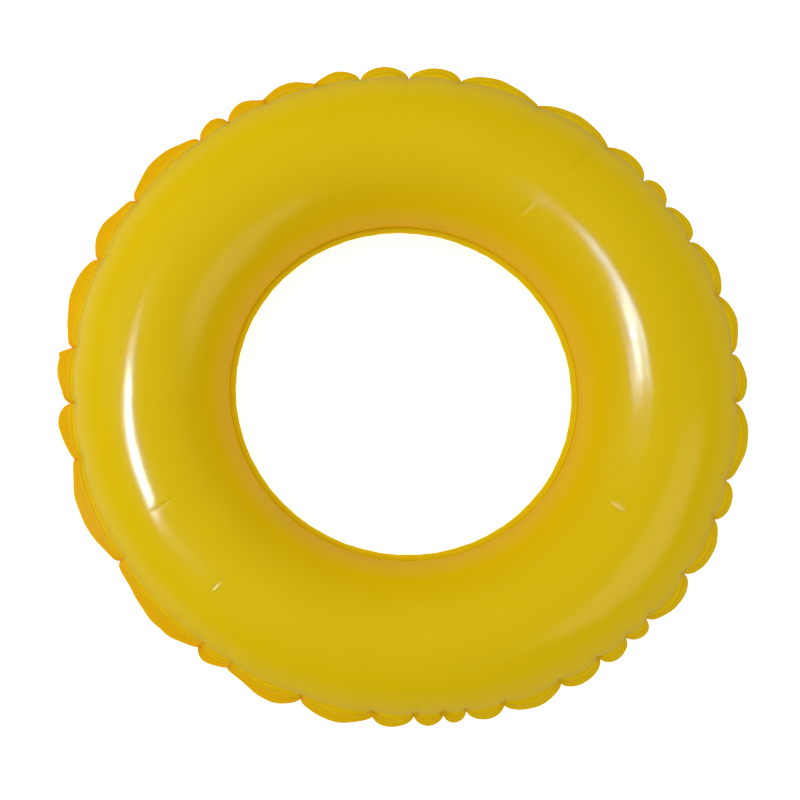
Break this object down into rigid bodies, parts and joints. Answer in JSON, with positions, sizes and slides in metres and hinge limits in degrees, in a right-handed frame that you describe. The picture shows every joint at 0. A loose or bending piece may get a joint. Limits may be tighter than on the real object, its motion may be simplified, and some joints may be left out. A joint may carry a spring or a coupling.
{
  "type": "inflatable swim ring",
  "caption": "Inflatable vinyl swim ring: two film halves welded at a gathered outer hem and an inner hem, with a push-in air valve on the rear film.",
  "frame": {"origin": "centre of the ring on the surface that it lies on", "axes": "+Z along the ring's axis, out of the front film; +X along the ring's slightly longer way across"},
  "size_m": [0.618, 0.5897, 0.1388],
  "materials": {
    "film": "soft yellow vinyl film, smooth and glossy",
    "hem": "two plies of yellow vinyl film fused by a ribbed weld",
    "valve": "soft milky vinyl moulding"
  },
  "bodies": {
    "ring": {"front_film": "film", "rear_film": "film", "outer_hem": "hem", "inner_hem": "hem", "valve_flange": "valve", "valve_skirt": "valve"},
    "stem": {"valve_stem": "valve"},
    "plug": {"valve_plug": "valve", "plug_strap": "valve"},
    "flap": {"check_flap": "valve"}
  },
  "joints": [
    {"name": "valve_travel", "type": "slide", "parent": "ring", "child": "stem", "axis": [0, -0.7735, -0.6338], "range_m": [0, 0.016], "deforming": ["valve_skirt"]},
    {"name": "plug_hinge", "type": "hinge", "parent": "stem", "child": "plug", "pos_m": [0, -0.27641, 0.02957], "axis": [-1, 0, 0], "range_deg": [0, 150]},
    {"name": "flap_hinge", "type": "hinge", "parent": "stem", "child": "flap", "pos_m": [0, -0.26443, 0.03474], "axis": [1, 0, 0], "range_deg": [0, 50]}
  ]
}
